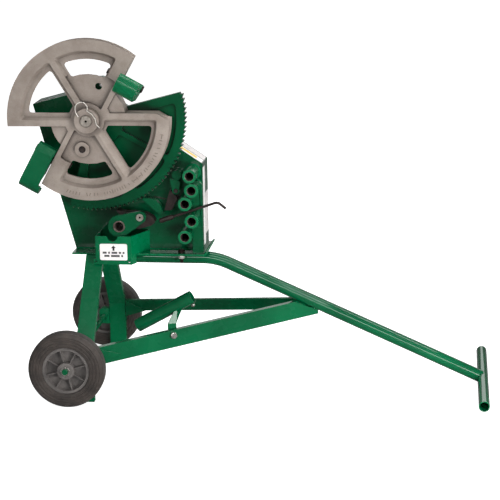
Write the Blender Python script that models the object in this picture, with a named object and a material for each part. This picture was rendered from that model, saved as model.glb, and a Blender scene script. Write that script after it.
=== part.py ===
"""A wheeled mechanical conduit bender, modelled as its separate pieces.

Metres, +Z up. The machine stands on its two leg feet, its two wheels and the T handle at the
end of its tongue. +X runs from the wheels to the handle, and the bending side faces -Y.
Sizes below are measured from the wheel axle's line on the floor, which sits at AXLE_X.
"""
from math import asin, atan, atan2, cos, hypot, pi, radians, sin, tan

import bmesh
import bpy
from mathutils import Matrix, Vector

GAP = 0.0003                      # clearance between touching pieces

# Wheels and axle
AXLE_X = -0.57755                 # axle's place, so that the whole machine is centred on the origin
WHEEL_R = 0.127
TYRE_W = 0.060
WHEEL_Y = 0.3384                  # middle of each wheel
HUB_R = 0.078
AXLE_R = 0.0095
AXLE_END = 0.377

# Stand
PLATE_Z = 0.446                   # underside of the base plate
PLATE_T = 0.006
PLATE_FRONT = -0.070
PLATE_BACK = 0.124
LEG_LEFT = 0.0200                 # the legs' two sides
LEG_RIGHT = 0.0785
LEG_T = 0.020
LEG_FOOT_Y = 0.300                # outer face of a leg's upright foot
LEG_KNEE_Z = 0.180                # height at which a leg bends inwards
BAR_H_FRONT = 0.060
BAR_H_REAR = 0.040
BAR_T = 0.020
BAR_YAW = atan(0.419)
BAR_RISE = 0.1488                 # rise of a lower bar for each unit of X
BAR_START = (0.079, 0.292)
BAR_TOP = 0.1856                  # height of a lower bar's upper edge at its start

# Tongue and T handle
TONGUE_R = 0.0211
TONGUE_Z = 0.4246
TONGUE_SLOPE = 0.4492             # fall of the tongue for each unit of run
TONGUE_BEND_X = 0.4555
HANDLE_R = 0.018
HANDLE_X = 1.3606
HANDLE_L = 0.600

# Storage tube for the operating handle
HOLDER_R = 0.0222
HOLDER_START = (0.1995, -0.130, 0.2165)
HOLDER_END = (0.3880, -0.130, 0.3210)
HOLDER_RUN = 0.272                # place of its strap along the front bar

# Head
HEAD_FRONT = -0.005               # front face of the head's front plate
HEAD_BACK = 0.113
HEAD_T = 0.008
SHELL_T = 0.004
HEAD_OUTLINE = [(-0.029, 0.4523), (-0.159, 0.949), (0.0375, 1.001), (0.414, 0.750), (0.414, 0.4523)]
PIN_TUBES = [(0.3803, 0.7226), (0.3858, 0.6736), (0.3633, 0.6279), (0.3850, 0.5689), (0.3611, 0.5141)]
PIN_TUBE_R = 0.0236
PIN_BORE_R = 0.0142

# Bend head
BEND_X = 0.049
BEND_Z = 0.914
SHAFT_R = 0.019
SHOE_FRONT = -0.106
WEB_FRONT = -0.093
WEB_BACK = -0.085
BIG_R = 0.272                     # rim of the half for the larger conduit
BIG_BACK = -0.044
BIG_GROOVE = 0.028
SMALL_R = 0.2663                  # rim of the half for the smaller conduit, about SMALL_CENTRE
SMALL_CENTRE = (-0.0062, 0.0)
SMALL_BACK = -0.064
SMALL_GROOVE = 0.018
WEB_R = 0.127
BOSS_R = 0.041
BOSS_FRONT = -0.130
WALL_LOW = -0.040                 # end wall's outer face, measured across its own radius line
WALL_HIGH = 0.008
FLAT = 0.0225                     # half spoke's outer face, measured the same way
GEAR_TIP_R = 0.321
GEAR_ROOT_R = 0.311
GEAR_TEETH = 42
GEAR_START = 14.3                 # angle of the toothed sector's upper edge, in degrees
GEAR_SPAN = 120.0
GEAR_FRONT = -0.040
GEAR_BACK = -0.018
DRIVE_HOLE = (-0.0231, -0.1004)  # where the drive bolt joins the shoe to the gear
SPARE_HOLE = (0.0377, 0.1095)

# Hooks, which turn on pins that stand square to the shoe's end walls
HOOK_PIN_REACH = 0.174            # distance of a hook pin from the shoe's centre
HOOK_PIN_R = 0.008
HOOK_U0 = 0.0450
HOOK_U1 = 0.1090
HOOK_REACH = 0.098                # distance of the claw's middle from the pin
HOOK_TOE = 0.0085                 # how far the claw's end runs back towards the shoe
HOOK_OPEN = 82.0                  # the upper hook is laid back by this angle

# Drive arm, pawls and lever
ARM = (0.1396, 0.5503)
ARM_TIP = (0.2110, 0.5824)
HOLD_PIVOT = (0.2545, 0.6120)
LEVER_PIVOT = (0.3276, 0.6648)
ROD_SLOPE = 0.341

GREEN = (0.006, 0.150, 0.075)
DARK_STEEL = (0.035, 0.028, 0.026)
ZINC = (0.62, 0.60, 0.56)
CAST_ALUMINIUM = (0.34, 0.31, 0.28)


# ---------------------------------------------------------------- helpers

def material(name, colour, roughness, metallic):
    mat = bpy.data.materials.new(name)
    mat.use_nodes = True
    bsdf = mat.node_tree.nodes["Principled BSDF"]
    bsdf.inputs["Base Color"].default_value = (*colour, 1.0)
    bsdf.inputs["Roughness"].default_value = roughness
    bsdf.inputs["Metallic"].default_value = metallic
    mat.diffuse_color = (*colour, 1.0)
    return mat


def empty(name, location, rotation=(0, 0, 0), parent=None):
    obj = bpy.data.objects.new(name, None)
    bpy.context.collection.objects.link(obj)
    obj.location = location
    obj.rotation_euler = rotation
    obj.parent = parent
    return obj


def add(name, bm, look, parent, location=(0, 0, 0), rotation=(0, 0, 0), smooth=True):
    """Turn a bmesh into a named object under a parent."""
    bmesh.ops.remove_doubles(bm, verts=bm.verts, dist=1e-7)
    bmesh.ops.recalc_face_normals(bm, faces=bm.faces)
    mesh = bpy.data.meshes.new(name)
    bm.to_mesh(mesh)
    bm.free()
    if look:
        mesh.materials.append(look)
    if smooth:
        mesh.shade_smooth()
        mesh.set_sharp_from_angle(angle=radians(32))
    obj = bpy.data.objects.new(name, mesh)
    bpy.context.collection.objects.link(obj)
    obj.parent = parent
    obj.location = location
    obj.rotation_euler = rotation
    return obj


def combine(target, bm, operation="DIFFERENCE"):
    """Cut a shape from an object, or join one to it, in the object's own frame."""
    tool = add(target.name + ".tool", bm, None, target.parent, target.location, target.rotation_euler, False)
    tool.hide_render = True
    tool.display_type = "WIRE"
    mod = target.modifiers.new("shape", "BOOLEAN")
    mod.operation = operation
    mod.solver = "EXACT"
    mod.object = tool


def prism(outline, y0, y1, bm=None):
    """Extrude an outline of (x, z) points from y0 to y1."""
    bm = bm or bmesh.new()
    near = [bm.verts.new((x, y0, z)) for x, z in outline]
    far = [bm.verts.new((x, y1, z)) for x, z in outline]
    bm.faces.new(near)
    bm.faces.new(list(reversed(far)))
    count = len(outline)
    for i in range(count):
        j = (i + 1) % count
        bm.faces.new((near[j], near[i], far[i], far[j]))
    return bm


def box(low, high, bm=None):
    outline = [(low[0], low[2]), (high[0], low[2]), (high[0], high[2]), (low[0], high[2])]
    return prism(outline, low[1], high[1], bm)


def turned(profile, sides, bm=None, centre=(0, 0), closed=True):
    """Turn a profile of (radius, y) points about the Y axis through centre (x, z)."""
    bm = bm or bmesh.new()
    rings = []
    for radius, y in profile:
        if radius < 1e-9:
            rings.append([bm.verts.new((centre[0], y, centre[1]))] * sides)
            continue
        ring = []
        for k in range(sides):
            angle = 2 * pi * k / sides
            ring.append(bm.verts.new((centre[0] + radius * cos(angle), y, centre[1] + radius * sin(angle))))
        rings.append(ring)
    count = len(rings)
    for i in range(count if closed else count - 1):
        first, second = rings[i], rings[(i + 1) % count]
        for k in range(sides):
            n = (k + 1) % sides
            corners = [first[k], first[n], second[n], second[k]]
            unique = list(dict.fromkeys(corners))
            if len(unique) > 2:
                bm.faces.new(unique)
    return bm


def solid_turned(profile, sides, bm=None, centre=(0, 0)):
    """A turned solid with no hole: its profile runs between two points on the axis."""
    ends = [(0, profile[0][1])] + list(profile) + [(0, profile[-1][1])]
    return turned(ends, sides, bm, centre, closed=False)


def turned_along(axis, profile, sides):
    """A turned solid about a line through the origin: its profile is (radius, distance)."""
    bm = solid_turned(profile, sides)
    spin = Vector((0, 1, 0)).rotation_difference(axis).to_matrix()
    bmesh.ops.rotate(bm, verts=bm.verts, matrix=spin)
    return bm


def disc(radius, y0, y1, sides, centre=(0, 0), bm=None):
    return solid_turned([(radius, y0), (radius, y1)], sides, bm, centre)


def pipe(radius, bore, y0, y1, sides, centre=(0, 0), bm=None):
    profile = [(bore, y0), (radius, y0), (radius, y1), (bore, y1)]
    return turned(profile, sides, bm, centre)


def swept(path, radius, sides, bore=None, bm=None):
    """A round bar or pipe along a path of points."""
    bm = bm or bmesh.new()
    points = [Vector(p) for p in path]
    side = Vector((0, 1, 0))

    def rings_of(size):
        rings = []
        for i, point in enumerate(points):
            ahead = (points[min(i + 1, len(points) - 1)] - point)
            behind = (point - points[max(i - 1, 0)])
            run = (ahead.normalized() + behind.normalized()).normalized()
            u = (side - run * side.dot(run))
            if u.length < 0.1:
                u = Vector((1, 0, 0)) - run * run.x
            u.normalize()
            v = run.cross(u)
            ring = []
            for k in range(sides):
                angle = 2 * pi * k / sides
                ring.append(bm.verts.new(point + (u * cos(angle) + v * sin(angle)) * size))
            rings.append(ring)
        return rings

    def skin(rings):
        for first, second in zip(rings, rings[1:]):
            for k in range(sides):
                n = (k + 1) % sides
                bm.faces.new((first[k], first[n], second[n], second[k]))

    outer = rings_of(radius)
    skin(outer)
    if bore is None:
        bm.faces.new(outer[0])
        bm.faces.new(outer[-1])
        return bm
    inner = rings_of(bore)
    skin(inner)
    for end in (0, -1):
        for k in range(sides):
            n = (k + 1) % sides
            bm.faces.new((outer[end][k], outer[end][n], inner[end][n], inner[end][k]))
    return bm


def rounded(points, radius, steps=3):
    """Round an outline's corners with arcs, and leave its nearly straight points as they are."""
    result = []
    count = len(points)
    for i in range(count):
        here = Vector(points[i])
        back = (Vector(points[i - 1]) - here)
        ahead = (Vector(points[(i + 1) % count]) - here)
        half = back.angle(ahead) / 2
        size = radius[i] if isinstance(radius, (list, tuple)) else radius
        if size <= 0 or half > radians(75):
            result.append(tuple(here))
            continue
        back.normalize()
        ahead.normalize()
        centre = here + (back + ahead).normalized() * (size / sin(half))
        start = here + back * (size / tan(half)) - centre
        end = here + ahead * (size / tan(half)) - centre
        turn = start.angle(end)
        sense = 1 if start.x * end.y - start.y * end.x > 0 else -1
        for k in range(steps + 1):
            spin = Matrix.Rotation(sense * turn * k / steps, 2)
            result.append(tuple(centre + spin @ start))
    return result


def arc(radius, start, end, steps, centre=(0, 0)):
    """Points on an arc, with its angles in degrees."""
    points = []
    for k in range(steps + 1):
        angle = radians(start + (end - start) * k / steps)
        points.append((centre[0] + radius * cos(angle), centre[1] + radius * sin(angle)))
    return points


def teardrop(first, r1, second, r2, steps=8):
    """The outline round two circles and their outer tangents."""
    dx, dz = second[0] - first[0], second[1] - first[1]
    span = hypot(dx, dz)
    lean = atan2(dz, dx)
    open_angle = pi / 2 + asin((r2 - r1) / span)
    turn = (lean + open_angle) * 180 / pi
    back = (lean - open_angle) * 180 / pi
    return arc(r1, turn, back + 360, steps + 4, first) + arc(r2, back, turn, steps, second)


def polar(radius, degrees):
    return radius * cos(radians(degrees)), radius * sin(radians(degrees))


def sector(a0, offset0, a1, offset1, r_in, r_out, steps):
    """An outline between two lines that run beside the radii at a0 and a1, and two arcs."""
    def angle(base, offset, radius):
        return base + asin(offset / radius) * 180 / pi
    outer = arc(r_out, angle(a0, offset0, r_out), angle(a1, offset1, r_out), steps)
    inner = arc(r_in, angle(a1, offset1, r_in), angle(a0, offset0, r_in), max(2, steps // 2))
    return outer + inner


def tongue_height(x):
    return TONGUE_Z - TONGUE_SLOPE * (x - TONGUE_BEND_X)


# ---------------------------------------------------------------- stand

def make_base(root, green):
    lip = 0.0102
    top = PLATE_Z + PLATE_T
    outline = [(-0.030, PLATE_Z), (0.424, PLATE_Z), (0.424 + lip, PLATE_Z + lip),
               (0.4198 + lip, top + lip - 0.0018), (0.4215, top), (-0.030, top)]
    plate = add("base_plate", prism(outline, PLATE_FRONT, PLATE_BACK), green, root)
    combine(plate, disc_z(0.0063, (0.342, -0.046), PLATE_Z - 0.01, top + 0.01))
    return plate


def disc_z(radius, centre, z0, z1, sides=16):
    """An upright round bar."""
    return swept([(centre[0], centre[1], z0), (centre[0], centre[1], z1)], radius, sides)


def make_leg(name, side, root, green):
    """A flat-sided leg: an upright foot, a knee, and a leaning upper part under the plate."""
    top = PLATE_Z - GAP
    top_y = -PLATE_FRONT + 0.006 if side < 0 else PLATE_BACK + 0.002
    lean = (LEG_FOOT_Y - top_y) / (top - LEG_KNEE_Z)
    level_t = LEG_T * hypot(1, lean)
    knee_in = LEG_KNEE_Z - LEG_T * (hypot(1, lean) - 1) / lean
    outline = [(LEG_FOOT_Y, 0), (LEG_FOOT_Y, LEG_KNEE_Z), (top_y, top), (top_y - level_t, top),
               (LEG_FOOT_Y - LEG_T, knee_in), (LEG_FOOT_Y - LEG_T, 0)]
    bm = bmesh.new()
    left = [bm.verts.new((LEG_LEFT, side * y, z)) for y, z in outline]
    right = [bm.verts.new((LEG_RIGHT, side * y, z)) for y, z in outline]
    bm.faces.new(left)
    bm.faces.new(list(reversed(right)))
    for i in range(len(outline)):
        j = (i + 1) % len(outline)
        bm.faces.new((left[j], left[i], right[i], right[j]))
    add(name, bm, green, root, smooth=False)


def make_stand(root, green, steel):
    axle = add("axle", disc(AXLE_R, -AXLE_END, AXLE_END, 24, (0, WHEEL_R)), green, root)
    for label, side in (("front", -1), ("rear", 1)):
        make_leg("leg_" + label, side, root, green)
        make_bar(label, side, root, green)
        make_axle_bracket(label, side, root, green)
        near, far = sorted((side * 0.3698, side * 0.3716))
        add("axle_washer_" + label, pipe(0.0165, AXLE_R + GAP, near, far, 24, (0, WHEEL_R)), steel, root)
        pin_y = side * 0.3742
        combine(axle, disc_z(0.0019, (0, pin_y), WHEEL_R - 0.02, WHEEL_R + 0.02, 10))
        pin = disc_z(0.0016, (0, pin_y), WHEEL_R - 0.0165, WHEEL_R + 0.015, 10)
        add("cotter_" + label, pin, steel, root)


def make_axle_bracket(label, side, root, green):
    near, far = sorted((side * LEG_FOOT_Y, side * (LEG_FOOT_Y - 0.030)))
    high = WHEEL_R + 0.030
    edge = LEG_LEFT - GAP
    outline = rounded([(-0.017, 0.100), (edge, 0.100), (edge, high), (-0.017, high)], [0.014, 0, 0, 0.014])
    bracket = add("axle_bracket_" + label, prism(outline, near, far), green, root)
    combine(bracket, disc(AXLE_R + GAP, near - 0.01, far + 0.01, 24, (0, WHEEL_R)))


def bar_outline(s0, s1, low, high):
    """A lower bar's side, as (run, height), rising along its run."""
    rise = BAR_RISE * cos(BAR_YAW)
    return [(s0, low + rise * s0), (s1, low + rise * s1), (s1, high + rise * s1), (s0, high + rise * s0)]


def make_bar(label, side, root, green):
    """A box-section bar from a leg to the tongue's underside, where the two bars meet."""
    place = (BAR_START[0], side * BAR_START[1], 0)
    turn = (0, 0, -side * BAR_YAW)
    half, wall = BAR_T / 2, 0.003
    low = BAR_TOP - (BAR_H_FRONT if label == "front" else BAR_H_REAR)
    bar = add("bar_" + label, prism(bar_outline(-0.045, 0.800, low, BAR_TOP), -half, half),
              green, root, place, turn, smooth=False)
    combine(bar, prism(bar_outline(-0.060, 0.820, low + wall, BAR_TOP - wall), wall - half, half - wall))
    below = (TONGUE_R + GAP) / cos(atan(TONGUE_SLOPE))
    left, right = 0.55, 1.00
    above = [(left, tongue_height(left) - below), (right, tongue_height(right) - below), (right, 0.6), (left, 0.6)]
    near, far = sorted((side * GAP / 2, side * -0.3))
    cut_world(bar, prism(above, -0.2, 0.2))
    cut_world(bar, box((-0.1, -0.5, 0.0), (LEG_RIGHT + GAP, 0.5, 0.4)))
    cut_world(bar, box((0.4, near, 0), (1.0, far, 0.5)))
    plate = sorted((-half - GAP, -half - 0.005))
    outline = [(0.008, BAR_TOP - 0.058), (0.094, BAR_TOP - 0.026), (0.008, BAR_TOP)]
    add("bar_gusset_" + label, prism(outline, *plate), green, root, place, turn, smooth=False)


def cut_world(target, bm):
    """Cut a shape that is drawn in the machine's own frame from an object that stands turned."""
    tool = add(target.name + ".tool", bm, None, target.parent, smooth=False)
    tool.hide_render = True
    tool.display_type = "WIRE"
    mod = target.modifiers.new("shape", "BOOLEAN")
    mod.solver = "EXACT"
    mod.operation = "DIFFERENCE"
    mod.object = tool


def make_tongue(root, green):
    slope = atan(TONGUE_SLOPE)
    bend_r = 0.210
    reach = bend_r * tan(slope / 2)
    path = [(0.090, 0, TONGUE_Z)]
    steps = 7
    centre_z = TONGUE_Z - bend_r
    for k in range(steps + 1):
        angle = slope * k / steps
        path.append((TONGUE_BEND_X - reach + bend_r * sin(angle), 0, centre_z + bend_r * cos(angle)))
    path.append((HANDLE_X + 0.01, 0, tongue_height(HANDLE_X + 0.01)))
    tongue = add("tongue", swept(path, TONGUE_R, 28, TONGUE_R - 0.003), green, root)
    combine(tongue, disc(HANDLE_R + GAP, -0.06, 0.06, 32, (HANDLE_X, HANDLE_R)))
    beyond = [(HANDLE_X + 0.002, -0.02), (HANDLE_X + 0.06, -0.02), (HANDLE_X + 0.06, 0.08), (HANDLE_X + 0.002, 0.08)]
    combine(tongue, prism(beyond, -0.06, 0.06))
    combine(tongue, box((1.2, -0.06, -0.05), (1.5, 0.06, 0.0)))
    handle = pipe(HANDLE_R, HANDLE_R - 0.0035, -HANDLE_L / 2, HANDLE_L / 2, 28, (HANDLE_X, HANDLE_R))
    add("t_handle", handle, green, root)


def make_holder(root, green, steel):
    """The open tube that stores the operating handle, on a bent strap bolted to the front bar."""
    start, end = Vector(HOLDER_START), Vector(HOLDER_END)
    tube = add("holder_tube", swept([start, end], HOLDER_R, 24, HOLDER_R - 0.0035), green, root)
    run = (end - start).normalized()
    place = (BAR_START[0], -BAR_START[1], 0)
    along = Vector((cos(BAR_YAW), sin(BAR_YAW), 0))
    across = Vector((-sin(BAR_YAW), cos(BAR_YAW), 0))
    behind = BAR_T / 2 + GAP
    foot = Vector(place) + along * HOLDER_RUN + across * (behind + 0.0025)
    top = start.lerp(end, 0.81)
    up = (top - foot - Vector((0, 0, 0.240))).normalized()
    sections = [(foot + Vector((0, 0, 0.186)), along, across), (foot + Vector((0, 0, 0.240)), along, across),
                (top, run, up.cross(run).normalized())]
    bm = bmesh.new()
    rings = [[bm.verts.new(c + w * (0.0145 * i) + t * (0.0025 * j)) for i, j in ((-1, -1), (1, -1), (1, 1), (-1, 1))]
             for c, w, t in sections]
    bm.faces.new(rings[0])
    bm.faces.new(rings[-1])
    for first, second in zip(rings, rings[1:]):
        for i in range(4):
            j = (i + 1) % 4
            bm.faces.new((first[i], first[j], second[j], second[i]))
    bmesh.ops.triangulate(bm, faces=bm.faces)
    bracket = add("holder_bracket", bm, green, root, smooth=False)
    cut_world(bracket, swept([start - run * 0.3, end + run * 0.3], HOLDER_R + GAP, 24))
    head = -BAR_T / 2 - GAP
    bolt = [(0.0095, head - 0.0085), (0.0115, head - 0.0065), (0.0115, head), (0.0048, head)]
    bolt += [(0.0048, behind + 0.005 + GAP), (0.0105, behind + 0.005 + GAP), (0.0105, behind + 0.013)]
    at = (HOLDER_RUN - 0.001, 0.206)
    add("holder_bolt", solid_turned(bolt, 12, centre=at), steel, root, place, (0, 0, BAR_YAW), smooth=False)
    for piece in ("bar_front", "holder_bracket"):
        cut_world(bpy.data.objects[piece], bolt_hole(place, at))
    down = Vector((run.z, 0, -run.x))
    seat = end - run * 0.012 + down * (HOLDER_R + GAP)
    screw = turned_along(down, [(0.0075, 0.001), (0.0075, 0.0065), (0.0060, 0.0085)], 12)
    add("holder_screw", screw, steel, root, seat, smooth=False)


def bolt_hole(place, at):
    """A hole across the front bar, for the bolt of the handle tube's strap."""
    across = Vector((-sin(BAR_YAW), cos(BAR_YAW), 0))
    along = Vector((cos(BAR_YAW), sin(BAR_YAW), 0))
    middle = Vector(place) + along * at[0] + Vector((0, 0, at[1]))
    return swept([middle - across * 0.04, middle + across * 0.04], 0.0055, 16)


def make_base_bolt(root, steel):
    top = PLATE_Z + PLATE_T + GAP
    under = PLATE_Z - GAP
    bm = bmesh.new()
    profile = [(0, 0.416), (0.0048, 0.416), (0.0056, 0.419), (0.0056, under - 0.013), (0.0115, under - 0.013),
               (0.0115, under), (0.0057, under), (0.0057, top), (0.0120, top), (0.0120, top + 0.008),
               (0.0100, top + 0.010), (0, top + 0.010)]
    turned(profile, 12, bm, closed=False)
    bmesh.ops.rotate(bm, verts=bm.verts, matrix=Matrix.Rotation(radians(90), 3, "X"))
    add("base_bolt", bm, steel, root, (0.342, -0.046, 0), smooth=False)


# ---------------------------------------------------------------- head

def make_head(root, green, steel):
    outline = HEAD_OUTLINE
    front = add("head_front_plate", prism(outline, HEAD_FRONT, HEAD_FRONT + HEAD_T), green, root)
    holes = disc(0.034 + GAP, -0.03, 0.03, 32, (BEND_X, BEND_Z))
    for x, z in PIN_TUBES:
        disc(PIN_TUBE_R + GAP, -0.03, 0.03, 24, (x, z), holes)
    combine(front, holes)

    inner = []
    count = len(outline)
    for i in range(1, count - 1):
        here = Vector(outline[i])
        back = (here - Vector(outline[i - 1])).normalized()
        ahead = (Vector(outline[i + 1]) - here).normalized()
        inward_back = Vector((back.y, -back.x))
        inward_ahead = Vector((ahead.y, -ahead.x))
        mitre = (inward_back + inward_ahead).normalized()
        inner.append(tuple(here + mitre * (SHELL_T / mitre.dot(inward_back))))
    left_in = (outline[0][0] + SHELL_T * 1.034, outline[0][1])
    right_in = (outline[-1][0] - SHELL_T, outline[-1][1])
    shell = outline + [right_in] + list(reversed(inner)) + [left_in]
    add("head_shell", prism(shell, HEAD_FRONT + HEAD_T + GAP, HEAD_BACK - HEAD_T - GAP), green, root, smooth=False)

    back = add("head_back_plate", prism(outline, HEAD_BACK - HEAD_T, HEAD_BACK), green, root)
    combine(back, disc(0.034 + GAP, 0.05, 0.2, 32, (BEND_X, BEND_Z)))

    bearing = pipe(0.034, SHAFT_R + GAP, GEAR_BACK + 0.0010, HEAD_BACK + 0.004, 32, (BEND_X, BEND_Z))
    add("bearing_tube", bearing, steel, root)

    tube_back = HEAD_BACK - HEAD_T - GAP
    for index, (x, z) in enumerate(PIN_TUBES, 1):
        add("pin_tube_%d" % index, pipe(PIN_TUBE_R, PIN_BORE_R, -0.088, tube_back, 24, (x, z)), green, root)

    bar = [(0.383, PLATE_Z + PLATE_T + GAP), (0.419, PLATE_Z + PLATE_T + GAP), (0.419, 0.690), (0.409, 0.700),
           (0.393, 0.700), (0.383, 0.690)]
    strip = add("pin_bar", prism(bar, -0.058, -0.050), green, root)
    cuts = bmesh.new()
    for x, z in PIN_TUBES[1:]:
        disc(PIN_TUBE_R + GAP, -0.08, -0.03, 24, (x, z), cuts)
    combine(strip, cuts)
    combine(strip, disc(0.016, -0.08, -0.03, 24, (0.386, 0.603)))


def make_roller_support(root, green):
    """A folded sheet that holds the support roller: a notched front with two side wings."""
    low, high = 0.4225, 0.520
    thick = 0.005
    front = -0.108
    outline = [(0.060, HEAD_FRONT - GAP), (0.060, front), (0.182, front), (0.228, HEAD_FRONT - GAP),
               (0.2225, HEAD_FRONT - GAP), (0.1784, front + thick), (0.065, front + thick),
               (0.065, HEAD_FRONT - GAP)]
    bm = bmesh.new()
    bottom = [bm.verts.new((x, y, low)) for x, y in outline]
    top = [bm.verts.new((x, y, high)) for x, y in outline]
    bm.faces.new(bottom)
    bm.faces.new(list(reversed(top)))
    for i in range(len(outline)):
        j = (i + 1) % len(outline)
        bm.faces.new((bottom[j], bottom[i], top[i], top[j]))
    support = add("roller_support", bm, green, root, smooth=False)
    combine(support, disc(0.018, front - 0.02, front + 0.02, 24, (0.1185, high)))
    tab = box((0.0525, front, low), (0.0700, front + thick, low + 0.019))
    combine(support, tab, "UNION")
    for x in (0.0605, 0.1735):
        combine(support, disc(0.0037, front - 0.02, front + 0.02, 12, (x, low + 0.0095)))
    combine(support, box((0.1, -0.082, 0.40), (0.30, 0.1, PLATE_Z + PLATE_T + GAP)))
    combine(support, box((0.0, front + thick + 0.0002, 0.40), (0.1, 0.1, PLATE_Z + PLATE_T + GAP)))


# ---------------------------------------------------------------- bend head

def make_gear(bend, green):
    pitch = GEAR_SPAN / GEAR_TEETH
    rim = [polar(GEAR_ROOT_R - 0.001, GEAR_START + 1.1)]
    for i in range(GEAR_TEETH):
        angle = GEAR_START - i * pitch
        rim.append(polar(GEAR_ROOT_R, angle))
        rim.append(polar(GEAR_TIP_R, angle - 0.25))
    end = GEAR_START - GEAR_SPAN
    rim.append(polar(GEAR_ROOT_R, end))
    ear = 0.026
    low_r, low_angle = hypot(*DRIVE_HOLE), atan2(DRIVE_HOLE[1], DRIVE_HOLE[0]) * 180 / pi
    high_angle = atan2(SPARE_HOLE[1], SPARE_HOLE[0]) * 180 / pi
    outline = rim
    outline += [polar(low_r + 0.03, end)]
    outline += arc(ear, low_angle - 20, low_angle - 150, 5, DRIVE_HOLE)
    outline += arc(0.062, low_angle - 40, high_angle + 40 - 360, 8)
    outline += arc(ear, high_angle + 90, high_angle - 90, 7, SPARE_HOLE)
    outline += [polar(0.066, GEAR_START + 20), polar(0.090, GEAR_START + 2.8)]
    gear = add("sector_gear", prism(outline, GEAR_FRONT, GEAR_BACK), green, bend)
    pockets = bmesh.new()
    for a0, o0, a1, o1, inner in ((-29, 0.008, 15.4, -0.029, 0.108), (-60, 0, -29, -0.008, 0.108),
                                  (-96, 0, -69.5, 0, 0.150)):
        shape = rounded(sector(a0, o0, a1, o1, inner, 0.286, 8), 0.010)
        prism(shape, GEAR_FRONT - 0.01, GEAR_FRONT + 0.009, pockets)
    combine(gear, pockets)
    holes = disc(SHAFT_R + GAP, -0.06, 0.0, 32)
    for centre in (DRIVE_HOLE, SPARE_HOLE):
        disc(0.0085, -0.06, 0.0, 16, centre, holes)
    combine(gear, holes)


def shoe_outline():
    """The small half's rim from its end wall to its flat, then the big half's, half a turn on."""
    big = []
    wall_out = 241 + asin(WALL_LOW / BIG_R) * 180 / pi
    big += arc(BIG_R, wall_out, 360.3, 24)
    big += [(0.2575, 0.0060), (0.2300, FLAT)]
    big += [polar(WEB_R, asin(FLAT / WEB_R) * 180 / pi)]
    to_wall = 61 + asin(WALL_LOW / WEB_R) * 180 / pi
    big += arc(WEB_R, 20, to_wall, 3)
    small = []
    inset = SMALL_CENTRE[0] * sin(radians(61)) - SMALL_CENTRE[1] * cos(radians(61))
    corner = 61 - asin((-WALL_LOW - inset) / SMALL_R) * 180 / pi
    small += arc(SMALL_R, corner, 185.0, 24, SMALL_CENTRE)
    small += [polar(WEB_R, 180 + asin(FLAT / WEB_R) * 180 / pi)]
    small += arc(WEB_R, 200, 241 + asin(WALL_LOW / WEB_R) * 180 / pi, 3)
    return small + big


def groove_ring(centre, radius, middle, size, a0, a1, steps):
    """A cutter for one half's conduit groove, turned between two angles."""
    section = [(radius + size * cos(radians(a)), middle + size * sin(radians(a))) for a in range(90, 271, 18)]
    section += [(radius + 0.04, section[-1][1]), (radius + 0.04, section[0][1])]
    bm = bmesh.new()
    rings = []
    for k in range(steps + 1):
        angle = radians(a0 + (a1 - a0) * k / steps)
        rings.append([bm.verts.new((centre[0] + r * cos(angle), y, centre[1] + r * sin(angle))) for r, y in section])
    for first, second in zip(rings, rings[1:]):
        for i in range(len(section)):
            j = (i + 1) % len(section)
            bm.faces.new((first[i], first[j], second[j], second[i]))
    bm.faces.new(rings[0])
    bm.faces.new(list(reversed(rings[-1])))
    return bm


def sloped(mouth, floor, y_mouth, y_floor, bm):
    """A cast pocket with sloping sides, running a little way out in front of its mouth."""
    ends = ((mouth, y_mouth - 0.01), (mouth, y_mouth), (floor, y_floor))
    rings = [[bm.verts.new((x, y, z)) for x, z in outline] for outline, y in ends]
    bm.faces.new(rings[0])
    bm.faces.new(list(reversed(rings[-1])))
    count = len(mouth)
    for first, second in zip(rings, rings[1:]):
        for i in range(count):
            j = (i + 1) % count
            bm.faces.new((first[j], first[i], second[i], second[j]))


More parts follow.
